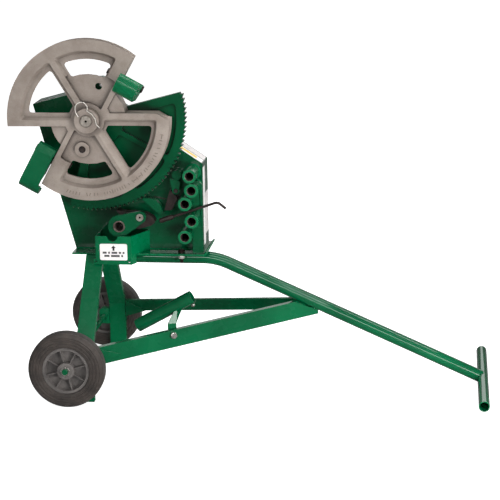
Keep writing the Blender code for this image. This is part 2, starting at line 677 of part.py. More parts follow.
def make_shoe(bend, aluminium):
    shoe = add("bending_shoe", prism(shoe_outline(), SHOE_FRONT, BIG_BACK), aluminium, bend)
    thin = sector(61, WALL_LOW - 0.006, 180, 0.030, 0.062, 0.300, 12)
    combine(shoe, prism(thin, SMALL_BACK, 0.0))
    small_middle = (SHOE_FRONT + SMALL_BACK) / 2
    big_middle = (SHOE_FRONT + BIG_BACK) / 2
    combine(shoe, groove_ring(SMALL_CENTRE, SMALL_R + 0.001, small_middle, SMALL_GROOVE, 40, 200, 36))
    combine(shoe, groove_ring((0, 0), BIG_R + 0.001, big_middle, BIG_GROOVE, 222, 376, 36))

    windows = bmesh.new()
    recesses = bmesh.new()
    webs = bmesh.new()
    for turn, rim, rib0, rib1, far_rim, step in ((0, 0.2285, -0.013, 0.007, 0.203, 0.012),
                                                 (180, 0.2310, -0.0075, 0.004, 0.2135, 0.024)):
        near = sector(61 + turn, WALL_HIGH + 0.007, 121 + turn, -0.0275, 0.150, 0.2005, 8)
        far = sector(121 + turn, rib1 + step, 180 + turn, -0.0205, 0.066, far_rim, 8)
        prism(rounded(near, 0.009), -0.13, 0.0, windows)
        prism(rounded(far, 0.009), -0.13, 0.0, windows)
        for a0, o0, a1, o1, r_in, slopes, cutter in (
                (61, WALL_HIGH, 121, rib0, 0.157, (0.006, -0.008), recesses),
                (121, rib1, 180, 0.002, 0.056, (step - 0.006, -0.010), recesses)):
            mouth = rounded(sector(a0 + turn, o0, a1 + turn, o1, r_in, rim, 8), 0.008)
            floor = rounded(sector(a0 + turn, o0 + slopes[0], a1 + turn, o1 + slopes[1], r_in, rim - 0.009, 8), 0.008)
            sloped(mouth, floor, SHOE_FRONT, WEB_FRONT, cutter)
            prism(mouth, WEB_BACK, 0.0, cutter)
        inner = rounded(sector(61 + turn, -0.024, 121 + turn, rib0, 0.056, 0.160, 8), 0.004)
        prism(inner, SHOE_FRONT - 0.01, WEB_FRONT, webs)
        prism(inner, WEB_BACK, 0.0, webs)
        ledge = sector(180 + turn, FLAT, 241 + turn, WALL_LOW - 0.0005, 0.078, 0.135, 6)
        prism(ledge, SHOE_FRONT - 0.01, SHOE_FRONT + 0.006, recesses)
    for cutter in (recesses, webs, windows):
        combine(shoe, cutter)

    combine(shoe, disc(BOSS_R, BOSS_FRONT, BIG_BACK - 0.020, 40), "UNION")
    combine(shoe, disc(0.025, SHOE_FRONT + 0.004, BIG_BACK - 0.004, 24, DRIVE_HOLE), "UNION")

    holes = disc(SHAFT_R + GAP, -0.15, 0.0, 32)
    for centre in (DRIVE_HOLE, SPARE_HOLE):
        disc(0.0118, -0.15, 0.0, 20, centre, holes)
    combine(shoe, holes)

    pin_bores = bmesh.new()
    pin_seats = bmesh.new()
    for turn, middle in ((0, small_middle), (180, big_middle)):
        wall = radians(61 + turn)
        along = Vector((cos(wall), 0, sin(wall)))
        across = Vector((sin(wall), 0, -cos(wall)))
        base = along * HOOK_PIN_REACH + Vector((0, middle, 0))
        swept([base - across * 0.04, base + across * 0.06], HOOK_PIN_R + 2 * GAP, 16, bm=pin_bores)
        swept([base - across * 0.036, base - across * WALL_HIGH], 0.0118, 16, bm=pin_seats)
    combine(shoe, pin_bores)
    combine(shoe, pin_seats)


def make_shaft(bend, steel, dark, zinc):
    front = BOSS_FRONT - 0.006
    profile = [(0.0035, front + 0.004), (0.0035, front), (SHAFT_R - 0.0015, front), (SHAFT_R, front + 0.0015),
               (SHAFT_R, HEAD_BACK + 0.0045), (0.030, HEAD_BACK + 0.0045), (0.030, HEAD_BACK + 0.014)]
    add("main_shaft", solid_turned(profile, 32), steel, bend)

    clip_y = BOSS_FRONT - 0.0025
    path = [(0.046, clip_y, -0.022), (0.035, clip_y, -0.012), (0.031, clip_y, 0.008), (0.020, clip_y, 0.024),
            (0.004, clip_y, 0.034)]
    path += [(-0.014 + 0.0205 * cos(radians(a)), clip_y, 0.043 + 0.0205 * sin(radians(a)))
             for a in range(-8, 208, 24)]
    path += [(-0.033, clip_y, 0.028), (-0.025, clip_y, 0.014)]
    add("shaft_clip", swept(path, 0.0018, 8), zinc, bend)

    bolt = [(0.0055, -0.0985), (0.0110, -0.1005), (0.0115, -0.0985), (0.0115, -0.070), (0.008, -0.070),
            (0.008, GEAR_BACK)]
    where = DRIVE_HOLE
    add("drive_bolt", solid_turned(bolt, 16), dark, bend, (where[0], 0, where[1]))


def hook_profile():
    """The hook's section as (out, front): a heel, a barrel on the pin and a claw round the conduit."""
    claw_r, inside_r, reach = 0.0435, 0.0295, HOOK_REACH
    points = [(0.015 * cos(radians(a)), 0.015 * sin(radians(a))) for a in range(240, 361, 20)]
    points += arc(inside_r, 180, -35, 14, (reach, 0.0))
    points += arc(claw_r, -35, 90, 10, (reach, 0.0))
    points += [(-0.004, 0.0425), (-0.026, 0.024), (-0.029, 0.008)]
    return points


def make_hook(name, bend, wall_angle, middle, laid_back, green, steel):
    """A cast hook on its pin. The pin's line runs square to the end wall, out of the shoe."""
    wall = radians(wall_angle)
    along = Vector((cos(wall), 0, sin(wall)))
    across = Vector((sin(wall), 0, -cos(wall)))
    front = Vector((0, -1, 0))
    origin = along * HOOK_PIN_REACH + Vector((0, middle, 0))

    def place(u, out, fore):
        turn = radians(laid_back)
        p = out * cos(turn) - fore * sin(turn)
        q = out * sin(turn) + fore * cos(turn)
        return across * u + along * p + front * q

    outline = hook_profile()
    bm = bmesh.new()
    near = [bm.verts.new(place(HOOK_U0, o, f)) for o, f in outline]
    far = [bm.verts.new(place(HOOK_U1, o, f)) for o, f in outline]
    bm.faces.new(near)
    bm.faces.new(list(reversed(far)))
    for i in range(len(outline)):
        j = (i + 1) % len(outline)
        bm.faces.new((near[j], near[i], far[i], far[j]))
    hook = add(name, bm, green, bend, origin)
    foot = arc(0.0300, 80, -35, 10, (HOOK_REACH, 0.0)) + arc(0.0430, -35, 80, 10, (HOOK_REACH, 0.0))
    foot = [(max(o, HOOK_REACH + 0.007), f) for o, f in foot]
    toe = bmesh.new()
    near = [toe.verts.new(place(HOOK_U0 - HOOK_TOE, o, f)) for o, f in foot]
    far = [toe.verts.new(place(HOOK_U0 + 0.010, o, f)) for o, f in foot]
    toe.faces.new(near)
    toe.faces.new(list(reversed(far)))
    for i in range(len(foot)):
        j = (i + 1) % len(foot)
        toe.faces.new((near[j], near[i], far[i], far[j]))
    combine(hook, toe, "UNION")
    combine(hook, swept([across * 0.02, across * 0.12], HOOK_PIN_R + 2 * GAP, 16))
    inner = -WALL_HIGH - GAP
    profile = [(0.0090, inner - 0.0105), (0.0105, inner - 0.0085), (0.0105, inner), (HOOK_PIN_R, inner),
               (HOOK_PIN_R, HOOK_U1 + GAP), (0.0125, HOOK_U1 + GAP), (0.0125, HOOK_U1 + 0.005)]
    add(name + "_pin", turned_along(across, profile, 16), steel, bend, origin)


# ---------------------------------------------------------------- drive arm, pawls and lever

def make_drive(root, green, steel, zinc):
    arm_pivot = empty("drive_arm_axis", (ARM[0], 0, ARM[1]), parent=root)
    tip = (ARM_TIP[0] - ARM[0], ARM_TIP[1] - ARM[1])
    arm = add("drive_arm", prism(teardrop((0, 0), 0.0375, tip, 0.0205), -0.092, -0.078), green, arm_pivot)
    holes = disc(0.020 + GAP, -0.2, 0.0, 32)
    disc(0.006 + GAP, -0.2, 0.0, 20, tip, holes)
    combine(arm, holes)
    add("arm_hub", pipe(0.020, 0.0150, -0.095, HEAD_FRONT - 0.004, 32), zinc, arm_pivot)
    bolt = [(0.0045, -0.0905), (0.0045, -0.0965), (0.0115, -0.0965), (0.0125, -0.0955), (0.0125, -0.0923),
            (0.006, -0.0923), (0.006, -0.026)]
    add("pawl_bolt", solid_turned(bolt, 20), zinc, arm_pivot, (tip[0], 0, tip[1]))
    sleeve = pipe(0.026, 0.020 + GAP, -0.0255, HEAD_FRONT - GAP, 32, ARM)
    add("arm_bearing", sleeve, green, root)

    pawl = [(0.1262, 0.6005), (0.150, 0.5950), (0.187, 0.5935), (0.2275, 0.5890), (0.250, 0.577), (0.2590, 0.560),
            (0.2430, 0.5475), (0.196, 0.5340), (0.182, 0.5420), (0.163, 0.5680), (0.1310, 0.5905)]
    pawl = [(x - ARM_TIP[0], z - ARM_TIP[1]) for x, z in pawl]
    radii = [0.001, 0, 0, 0.010, 0.010, 0.010, 0.012, 0.010, 0.008, 0.010, 0.002]
    body = add("drive_pawl", prism(rounded(pawl, radii), -0.064, -0.028), steel, arm_pivot, (tip[0], 0, tip[1]))
    combine(body, disc(0.006 + GAP, -0.1, 0.0, 20))


def make_holding(root, green, steel):
    pivot = HOLD_PIVOT
    blade = [(0.2105, 0.6345), (0.2185, 0.6385), (0.2370, 0.6370), (0.2560, 0.6325), (0.2735, 0.6140),
             (0.2760, 0.6040), (0.2820, 0.5930), (0.2800, 0.5840), (0.2660, 0.5855), (0.2440, 0.6040),
             (0.2260, 0.6190)]
    blade = [(x - pivot[0], z - pivot[1]) for x, z in blade]
    radii = [0.001, 0.002, 0.003, 0.008, 0.004, 0.003, 0.005, 0.006, 0.006, 0.006, 0.004]
    pawl = add("hold_pawl", prism(rounded(blade, radii), -0.042, -0.016), green, root, (pivot[0], 0, pivot[1]))
    combine(pawl, disc(0.005 + GAP, -0.1, 0.0, 16))
    add("hold_pin", disc(0.005, -0.0422, HEAD_FRONT - GAP, 16), green, root, (pivot[0], 0, pivot[1]))

    stop = [(0.3062, 0.6665), (0.3310, 0.6351), (0.3249, 0.6236), (0.3102, 0.5948), (0.2850, 0.5945), (0.2900, 0.6120),
            (0.3003, 0.6492)]
    add("pawl_stop", prism(rounded(stop, 0.002, 1), -0.034, HEAD_FRONT - GAP), steel, root)
    add("pawl_spring", swept([(0.2467, -0.047, 0.6465), (0.2975, -0.047, 0.6368)], 0.0022, 8), steel, root)

    tilt = atan(ROD_SLOPE)
    run, rise = cos(tilt), sin(tilt)
    start = Vector((0.2740, -0.068, 0.5655))
    along = Vector((run, 0, rise))
    end = start + along * 0.200
    path = [start, end]
    for k in range(1, 6):
        turn = tilt - radians(58) * k / 5
        end = end + Vector((cos(turn), 0, sin(turn))) * 0.004
        path.append(end)
    path.append(end + Vector((cos(turn), 0, sin(turn))) * 0.022)
    rod = add("release_rod", swept([p - start for p in path], 0.0045, 12), steel, root, start)
    combine(rod, turned_along(along, [(0.0070, 0.001), (0.0085, 0.004), (0.0085, 0.044), (0.0060, 0.049)], 16), "UNION")

    lever_at = LEVER_PIVOT
    shape = [(0.3080, 0.7070), (0.3425, 0.6960), (0.3400, 0.6760)]
    shape += arc(0.0128, 20, -190, 9, lever_at)
    shape = [(x - lever_at[0], z - lever_at[1]) for x, z in shape]
    lever = add("lock_lever", prism(shape, -0.046, -0.036), green, root, (lever_at[0], 0, lever_at[1]))
    knob = disc(0.0160, -0.0385, -0.012, 24, (0.3300 - lever_at[0], 0.7160 - lever_at[1]))
    combine(lever, knob, "UNION")
    combine(lever, disc(0.005 + GAP, -0.1, 0.0, 16))
    bolt = [(0.0065, -0.0500), (0.0072, -0.0490), (0.0072, -0.0463), (0.005, -0.0463), (0.005, HEAD_FRONT - GAP)]
    add("lever_bolt", solid_turned(bolt, 16), steel, root, (lever_at[0], 0, lever_at[1]))


# ---------------------------------------------------------------- wheels

def make_wheel(label, side, root, rubber, plastic):
    centre = empty("wheel_axis_" + label, (0, side * WHEEL_Y, WHEEL_R), parent=root)
    half = TYRE_W / 2
    tyre = [(HUB_R + GAP, -half + 0.004), (0.088, -half), (0.112, -half), (0.1215, -half + 0.004),
            (0.1262, -half + 0.012), (WHEEL_R, 0.0), (0.1262, half - 0.012), (0.1215, half - 0.004),
            (0.112, half), (0.088, half), (HUB_R + GAP, half - 0.004)]
    add("tyre_" + label, turned(tyre, 48), rubber, centre)
    bore = AXLE_R + GAP
    hub = [(bore, -0.031), (0.0265, -0.031), (0.028, -0.0295), (0.028, -0.004), (0.067, -0.004), (0.069, -0.024),
           (HUB_R, -0.024), (HUB_R, 0.024), (0.069, 0.024), (0.067, 0.004), (0.028, 0.004), (0.028, 0.0295),
           (0.0265, 0.031), (bore, 0.031)]
    wheel = add("wheel_hub_" + label, turned(hub, 40), plastic, centre)
    for k in range(4):
        bm = box((0.026, -0.019, -0.0016), (0.0700, 0.019, 0.0016))
        box((-0.0700, -0.019, -0.0016), (-0.026, 0.019, 0.0016), bm)
        bmesh.ops.rotate(bm, verts=bm.verts, matrix=Matrix.Rotation(radians(30 + 45 * k), 3, "Y"))
        combine(wheel, bm, "UNION")


def build():
    for obj in list(bpy.data.objects):
        bpy.data.objects.remove(obj, do_unlink=True)
    green = material("green_paint", GREEN, 0.32, 0.0)
    steel = material("dark_steel", DARK_STEEL, 0.45, 0.6)
    zinc = material("zinc_steel", ZINC, 0.32, 0.9)
    aluminium = material("cast_aluminium", CAST_ALUMINIUM, 0.55, 0.7)
    rubber = material("tyre_rubber", (0.035, 0.030, 0.028), 0.8, 0.0)
    plastic = material("hub_plastic", (0.12, 0.11, 0.105), 0.6, 0.0)

    root = empty("conduit_bender", (AXLE_X, 0, 0))
    make_base(root, green)
    make_stand(root, green, zinc)
    make_tongue(root, green)
    make_holder(root, green, zinc)
    make_base_bolt(root, zinc)
    make_head(root, green, steel)
    make_roller_support(root, green)
    make_drive(root, green, steel, zinc)
    make_holding(root, green, steel)

    bend = empty("bend_axis", (BEND_X, 0, BEND_Z), parent=root)
    make_gear(bend, green)
    make_shoe(bend, aluminium)
    make_shaft(bend, zinc, steel, zinc)
    make_hook("hook_upper", bend, 61, (SHOE_FRONT + SMALL_BACK) / 2, HOOK_OPEN, green, steel)
    make_hook("hook_lower", bend, 241, (SHOE_FRONT + BIG_BACK) / 2, 0.0, green, steel)

    for label, side in (("front", -1), ("rear", 1)):
        make_wheel(label, side, root, rubber, plastic)


build()
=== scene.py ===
"""Looks for the wheeled conduit bender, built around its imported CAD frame.

Metres, +Z up, in the row frame. Places written as (x, y, z) in `at` are measured from the wheel
axle's line on the floor, as in the part's own source, so `at` adds the axle's X from the frame.
"""
import random
from math import atan, cos, pi, radians, sin

import bmesh
import bpy
from mathutils import Matrix, Vector, noise


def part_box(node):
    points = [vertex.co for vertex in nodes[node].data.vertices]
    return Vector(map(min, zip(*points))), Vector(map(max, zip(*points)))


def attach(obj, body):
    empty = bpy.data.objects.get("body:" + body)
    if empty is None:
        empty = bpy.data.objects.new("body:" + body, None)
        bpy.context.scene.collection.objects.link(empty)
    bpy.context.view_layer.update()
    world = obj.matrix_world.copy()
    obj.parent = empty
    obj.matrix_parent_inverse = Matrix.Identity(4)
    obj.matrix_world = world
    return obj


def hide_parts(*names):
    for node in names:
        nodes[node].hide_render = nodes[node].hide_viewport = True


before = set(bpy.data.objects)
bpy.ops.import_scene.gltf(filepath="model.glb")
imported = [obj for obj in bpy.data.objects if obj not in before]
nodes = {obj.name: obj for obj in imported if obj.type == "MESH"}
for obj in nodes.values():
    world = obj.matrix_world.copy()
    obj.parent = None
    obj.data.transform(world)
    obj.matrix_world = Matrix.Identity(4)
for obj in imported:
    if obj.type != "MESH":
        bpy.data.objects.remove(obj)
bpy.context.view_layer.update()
rng = random.Random(11)


def middle(node):
    low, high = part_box(node)
    return (low + high) / 2


AXLE_X = middle("axle").x
BEND = middle("bearing_tube")             # a point on the bend head's axis
HEAD_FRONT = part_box("head_front_plate")[0].y
SHOE_RIM_FACE = -0.106                    # front face of the shoe's larger half
LABEL_THICK = 0.0003
INK_THICK = 0.0002
PAINT = {}                                # materials that several functions share


def at(x, y, z):
    return Vector((x + AXLE_X, y, z))


def linear(r, g, b):
    """A linear colour from 0 to 255 display values."""
    return tuple(c / 255 / 12.92 if c < 11 else ((c / 255 + 0.055) / 1.055) ** 2.4 for c in (r, g, b))


def scaled(colour, light):
    return tuple(c * light for c in colour)


# ---------------------------------------------------------------- materials

class Look:
    """A procedural material: a Principled shader with a few short helpers."""

    def __init__(self, name, roughness, metallic=0.0):
        self.mat = bpy.data.materials.new(name)
        self.mat.use_nodes = True
        self.tree = self.mat.node_tree
        self.bsdf = self.tree.nodes["Principled BSDF"]
        self.bsdf.inputs["Roughness"].default_value = roughness
        self.bsdf.inputs["Metallic"].default_value = metallic
        self.coords = self.add("ShaderNodeTexCoord").outputs["Object"]

    def add(self, kind, inputs=None, **settings):
        node = self.tree.nodes.new(kind)
        for key, value in settings.items():
            setattr(node, key, value)
        for key, value in (inputs or {}).items():
            if isinstance(value, bpy.types.NodeSocket):
                self.tree.links.new(value, node.inputs[key])
            else:
                node.inputs[key].default_value = value
        return node

    def noise(self, scale, detail=4.0, rough=0.55):
        made = self.add("ShaderNodeTexNoise",
                        {"Vector": self.coords, "Scale": scale, "Detail": detail, "Roughness": rough})
        return made.outputs["Fac"]

    def spread(self, value, low, high, to_low=0.0, to_high=1.0):
        made = self.add("ShaderNodeMapRange", {"Value": value, "From Min": low, "From Max": high,
                                               "To Min": to_low, "To Max": to_high})
        return made.outputs["Result"]

    def maths(self, operation, a, b=0.0):
        return self.add("ShaderNodeMath", {0: a, 1: b}, operation=operation).outputs[0]

    def mix(self, factor, a, b):
        a = a if isinstance(a, bpy.types.NodeSocket) else (*a, 1.0)
        b = b if isinstance(b, bpy.types.NodeSocket) else (*b, 1.0)
        return self.add("ShaderNodeMix", {0: factor, 6: a, 7: b}, data_type="RGBA").outputs[2]

    def axis(self, name):
        return self.add("ShaderNodeSeparateXYZ", {0: self.coords}).outputs[name]

    def corner_shade(self, reach, low, high, most):
        """How much painted shade a corner gets, from 0 in the open to most, read from ambient occlusion."""
        open_sky = self.add("ShaderNodeAmbientOcclusion", {"Distance": reach}, samples=8).outputs["AO"]
        return self.spread(open_sky, low, high, most, 0.0)

    def colour(self, socket):
        self.tree.links.new(socket, self.bsdf.inputs["Base Color"])

    def rough(self, socket):
        self.tree.links.new(socket, self.bsdf.inputs["Roughness"])

    def metal(self, socket):
        self.tree.links.new(socket, self.bsdf.inputs["Metallic"])

    def bump(self, layers, distance=0.001):
        """Stack (height, strength) layers of bump."""
        normal = None
        for height, strength in layers:
            inputs = {"Height": height, "Strength": strength, "Distance": distance}
            if normal:
                inputs["Normal"] = normal
            normal = self.add("ShaderNodeBump", inputs).outputs[0]
        self.tree.links.new(normal, self.bsdf.inputs["Normal"])

    def distance_from(self, centre):
        """Distance from a line along Y through centre."""
        x = self.maths("SUBTRACT", self.axis("X"), centre.x)
        z = self.maths("SUBTRACT", self.axis("Z"), centre.z)
        squares = self.maths("ADD", self.maths("MULTIPLY", x, x), self.maths("MULTIPLY", z, z))
        return self.maths("SQRT", squares)


GREEN_LIT = linear(0, 102, 62)
GREEN_DEEP = linear(0, 84, 50)


def green_base(look, light=1.0):
    """Green enamel's colour: slow clouds of two greens, and a little dust; light makes lighter or darker
    copies of it, painted light or painted shade for the parts that use them.
    """
    cloud = look.spread(look.noise(5.0, 3.0), 0.35, 0.65)
    lit = scaled(GREEN_LIT, light)
    base = look.mix(cloud, scaled(GREEN_DEEP, light), lit)
    dust = look.spread(look.noise(70.0, 5.0, 0.65), 0.60, 0.82, 0.0, 0.28)
    return look.mix(dust, base, tuple(c * 1.2 + 0.0015 for c in lit))


def green_paint(name="green_enamel", light=1.0, roughness=0.24):
    """Glossy enamel over steel, with a little orange peel and cloudiness."""
    look = Look(name, roughness)
    look.colour(green_base(look, light))
    look.rough(look.spread(look.noise(28.0, 4.0), 0.3, 0.7, roughness - 0.05, roughness + 0.10))
    look.bsdf.inputs["Specular IOR Level"].default_value = 0.10
    look.bsdf.inputs["Coat Weight"].default_value = 0.55
    look.bsdf.inputs["Coat Roughness"].default_value = 0.05
    look.bump([(look.noise(260.0, 2.0), 0.05), (look.noise(30.0, 3.0), 0.06)], 0.0010)
    return look.mat


def tube_enamel():
    """The same enamel on drawn tube, which is smoother and shows long clean reflections; its green is a
    darker copy (0.80), painted shade.
    """
    look = Look("tube_enamel", 0.22)
    look.colour(green_base(look, 0.80))
    look.rough(look.spread(look.noise(28.0, 4.0), 0.3, 0.7, 0.18, 0.28))
    look.bsdf.inputs["Specular IOR Level"].default_value = 0.10
    look.bsdf.inputs["Coat Weight"].default_value = 1.0
    look.bsdf.inputs["Coat Roughness"].default_value = 0.03
    look.bump([(look.noise(18.0, 2.0), 0.03)], 0.0010)
    return look.mat


def cast_green():
    """The same paint over a rougher casting, in a lighter copy (1.12) that is painted light."""
    look = Look("green_casting", 0.30)
    look.colour(green_base(look, 1.12))
    look.bsdf.inputs["Specular IOR Level"].default_value = 0.20
    look.bsdf.inputs["Coat Weight"].default_value = 0.25
    look.bsdf.inputs["Coat Roughness"].default_value = 0.14
    look.bump([(look.noise(160.0, 5.0, 0.6), 0.45), (look.noise(45.0, 4.0), 0.35)], 0.002)
    return look.mat


def gear_paint():
    """Green paint, worn to bare steel on the tips of the teeth; the green is a darker copy (0.60), with
    painted shade deepening it in pockets and corners.
    """
    look = Look("toothed_sector_paint", 0.30)
    out = look.distance_from(BEND)
    ragged = look.maths("ADD", out, look.spread(look.noise(240.0, 3.0), 0.3, 0.7, -0.0016, 0.0016))
    worn = look.spread(ragged, 0.3172, 0.3206, 0.0, 0.55)
    steel = look.mix(look.noise(400.0), linear(84, 92, 74), linear(176, 170, 150))
    # Painted shade: the darker green goes near-black green where ambient occlusion finds pockets and corners.
    green = look.mix(look.corner_shade(0.020, 0.45, 0.95, 0.75), green_base(look, 0.60), linear(0, 26, 14))
    look.colour(look.mix(worn, green, steel))
    look.metal(look.maths("MULTIPLY", worn, 0.55))
    look.bsdf.inputs["Specular IOR Level"].default_value = 0.10
    look.bsdf.inputs["Coat Weight"].default_value = 0.25
    look.bsdf.inputs["Coat Roughness"].default_value = 0.12
    look.bump([(look.noise(220.0, 3.0), 0.12)], 0.0012)
    return look.mat


def cast_aluminium():
    """As-cast warm grey aluminium: sandy grain, stains, and painted shade that darkens its corners and
    recesses.
    """
    look = Look("sand_cast_aluminium", 0.55, 0.20)
    blotch = look.spread(look.noise(14.0, 5.0, 0.6), 0.32, 0.68)
    base = look.mix(blotch, linear(136, 123, 113), linear(168, 156, 146))
    grain = look.spread(look.noise(620.0, 3.0, 0.7), 0.30, 0.75)
    base = look.mix(look.maths("MULTIPLY", grain, 0.30), base, linear(188, 178, 170))
    pits = look.spread(look.noise(210.0, 4.0, 0.6), 0.62, 0.74, 0.0, 0.45)
    base = look.mix(pits, base, linear(96, 86, 79))
    # Painted shade: recess walls and corners go dark brown by ambient occlusion.
    shade = look.corner_shade(0.030, 0.35, 0.97, 0.92)
    look.colour(look.mix(shade, base, linear(50, 40, 34)))
    look.rough(look.spread(look.noise(60.0, 4.0), 0.3, 0.7, 0.42, 0.60))
    look.bump([(look.noise(760.0, 4.0, 0.65), 0.35), (look.noise(120.0, 4.0), 0.25)], 0.0010)
    return look.mat


def turned_steel(name, centre, light, dark):
    """A faced steel end, with fine turning rings about its centre and a near-black disc in the middle:
    painted shade of a centre hole.
    """
    look = Look(name, 0.34, 0.75)
    out = look.distance_from(centre)
    rings = look.maths("SINE", look.maths("MULTIPLY", out, 5200.0))
    # Painted shade: a near-black disc where a centre hole's shade would be.
    hole_shade = look.spread(out, 0.0030, 0.0045)
    face = look.mix(look.spread(look.noise(90.0, 3.0), 0.3, 0.7), dark, light)
    look.colour(look.mix(hole_shade, linear(16, 13, 12), face))
    look.bump([(rings, 0.06), (look.noise(300.0), 0.08)], 0.0006)
    return look.mat


def zinc():
    """Bright plated washers, pins and bolts."""
    look = Look("bright_zinc", 0.26, 0.92)
    spangle = look.spread(look.noise(180.0, 3.0), 0.3, 0.7)
    look.colour(look.mix(spangle, linear(176, 172, 164), linear(226, 224, 218)))
    look.rough(look.spread(look.noise(90.0, 3.0), 0.3, 0.7, 0.18, 0.36))
    look.bump([(look.noise(500.0, 2.0), 0.10)], 0.0006)
    return look.mat


def spring_wire():
    """Bright drawn wire."""
    look = Look("drawn_wire", 0.30, 0.45)
    look.colour(look.mix(look.noise(150.0), linear(214, 208, 198), linear(240, 236, 228)))
    look.bump([(look.noise(600.0, 2.0), 0.05)], 0.0004)
    return look.mat


def black_steel():
    """Oily black oxide on forged and turned parts."""
    look = Look("black_oxide", 0.42, 0.45)
    base = look.mix(look.spread(look.noise(60.0, 5.0), 0.3, 0.7), linear(33, 26, 25), linear(62, 52, 48))
    look.colour(base)
    look.rough(look.spread(look.noise(120.0, 3.0), 0.3, 0.7, 0.34, 0.55))
    look.bump([(look.noise(420.0, 4.0, 0.6), 0.25)], 0.0010)
    return look.mat


def stud_finish():
    """The base bolt: black head and tip, bright nut and washer between them."""
    look = Look("bolt_and_nut", 0.35, 0.6)
    z = look.axis("Z")
    low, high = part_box("base_bolt")
    head = look.maths("GREATER_THAN", z, high.z - 0.0115)
    tip = look.maths("LESS_THAN", z, low.z + 0.0150)
    dark = look.maths("MAXIMUM", head, tip)
    bright = look.mix(look.noise(200.0), linear(180, 176, 168), linear(230, 228, 222))
    look.colour(look.mix(dark, bright, linear(38, 26, 24)))
    look.bump([(look.noise(400.0), 0.12)], 0.0006)
    return look.mat


def tyre_rubber():
    """Worn, dusty solid rubber."""
    look = Look("solid_tyre_rubber", 0.62)
    worn = look.spread(look.noise(26.0, 5.0, 0.6), 0.35, 0.70)
    base = look.mix(worn, linear(47, 41, 38), linear(70, 62, 57))
    dust = look.spread(look.noise(240.0, 4.0, 0.7), 0.58, 0.80, 0.0, 0.35)
    look.colour(look.mix(dust, base, linear(112, 102, 94)))
    look.rough(look.spread(look.noise(80.0, 4.0), 0.3, 0.7, 0.52, 0.74))
    look.bsdf.inputs["Sheen Weight"].default_value = 0.12
    look.bump([(look.noise(540.0, 4.0, 0.6), 0.30)], 0.0008)
    return look.mat


def hub_nylon():
    """The wheels' moulded grey hubs."""
    look = Look("hub_nylon", 0.50)
    cloud = look.spread(look.noise(34.0, 4.0), 0.35, 0.65)
    look.colour(look.mix(cloud, linear(88, 84, 82), linear(112, 107, 104)))
    look.bump([(look.noise(380.0, 3.0), 0.14)], 0.0008)
    return look.mat


def printed(name, paper, ink, speckle):
    """A printed vinyl label's blank stock."""
    look = Look(name, 0.38)
    marks = look.spread(look.noise(speckle, 4.0, 0.7), 0.56, 0.66)
    look.colour(look.mix(look.maths("MULTIPLY", marks, 0.5), paper, ink))
    look.bsdf.inputs["Coat Weight"].default_value = 0.25
    look.bsdf.inputs["Coat Roughness"].default_value = 0.15
    look.bump([(look.noise(120.0, 2.0), 0.05)], 0.0005)
    return look.mat


# ---------------------------------------------------------------- pieces

def piece(name, bm, mat, body, smooth=True, angle=32):
    """A finished mesh that rides on one CAD body."""
    bmesh.ops.remove_doubles(bm, verts=bm.verts, dist=1e-7)
    bmesh.ops.recalc_face_normals(bm, faces=bm.faces)
    mesh = bpy.data.meshes.new(name)
    bm.to_mesh(mesh)
    bm.free()
    mesh.materials.append(mat)
    if smooth:
        mesh.shade_smooth()
        mesh.set_sharp_from_angle(angle=radians(angle))
    obj = bpy.data.objects.new(name, mesh)
    bpy.context.scene.collection.objects.link(obj)
    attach(obj, body)
    return obj


def lathe(bm, profile, sides, place):
    """Turn a closed (radius, y) profile about the Y axis, then move it by place."""
    rings = []
    for k in range(sides):
        turn = 2 * pi * k / sides
        rings.append([bm.verts.new(place + Vector((r * cos(turn), y, r * sin(turn)))) for r, y in profile])
    for k in range(sides):
        first, second = rings[k], rings[(k + 1) % sides]
        for i in range(len(profile)):
            j = (i + 1) % len(profile)
            bm.faces.new((first[i], first[j], second[j], second[i]))
    return bm


def tube_along(bm, path, radius, sides=10, closed=False):
    """A round cord of mesh along points; radius is a number or one for each point."""
    points = [Vector(p) for p in path]
    count = len(points)
    side = Vector((0, 1, 0))
    rings = []
    for i, point in enumerate(points):
        ahead = points[(i + 1) % count] if closed or i + 1 < count else point
        behind = points[i - 1] if closed or i > 0 else point
        run = (ahead - behind).normalized()
        u = side - run * side.dot(run)
        if u.length < 0.05:
            u = Vector((1, 0, 0)) - run * run.x
        u.normalize()
        side = u
        v = run.cross(u)
        size = radius[i] if isinstance(radius, (list, tuple)) else radius
        ring = []
        for k in range(sides):
            turn = 2 * pi * k / sides
            ring.append(bm.verts.new(point + (u * cos(turn) + v * sin(turn)) * size))
        rings.append(ring)
    for i in range(count if closed else count - 1):
        first, second = rings[i], rings[(i + 1) % count]
        for k in range(sides):
            n = (k + 1) % sides
            bm.faces.new((first[k], first[n], second[n], second[k]))
    if not closed:
        bm.faces.new(rings[0])
        bm.faces.new(rings[-1])
    return bm


def drop_custom_normals(mesh):
    """Forget the imported shading normals, so that the modifiers' own ones show."""
    kept = mesh.attributes.get("custom_normal")
    if kept:
        mesh.attributes.remove(kept)


def dress(mat, *names):
    """Give CAD nodes a material, softened edges and smooth round faces."""
    for name in names:
        obj = nodes[name]
        obj.data.materials.clear()
        obj.data.materials.append(mat)
        for face in obj.data.polygons:
            face.use_smooth = True
            face.material_index = 0
        if obj.data.has_custom_normals:
            drop_custom_normals(obj.data)
        weld = obj.modifiers.new("weld", "WELD")
        weld.merge_threshold = 2e-5
        bevel = obj.modifiers.new("bevel", "BEVEL")
        bevel.width = 0.0009
        bevel.segments = 2
        bevel.limit_method = "ANGLE"
        bevel.angle_limit = radians(32)
        bevel.harden_normals = False
        bevel.use_clamp_overlap = True
        even = obj.modifiers.new("even", "WEIGHTED_NORMAL")
        even.mode = "FACE_AREA_WITH_ANGLE"
        even.weight = 90
        even.keep_sharp = False


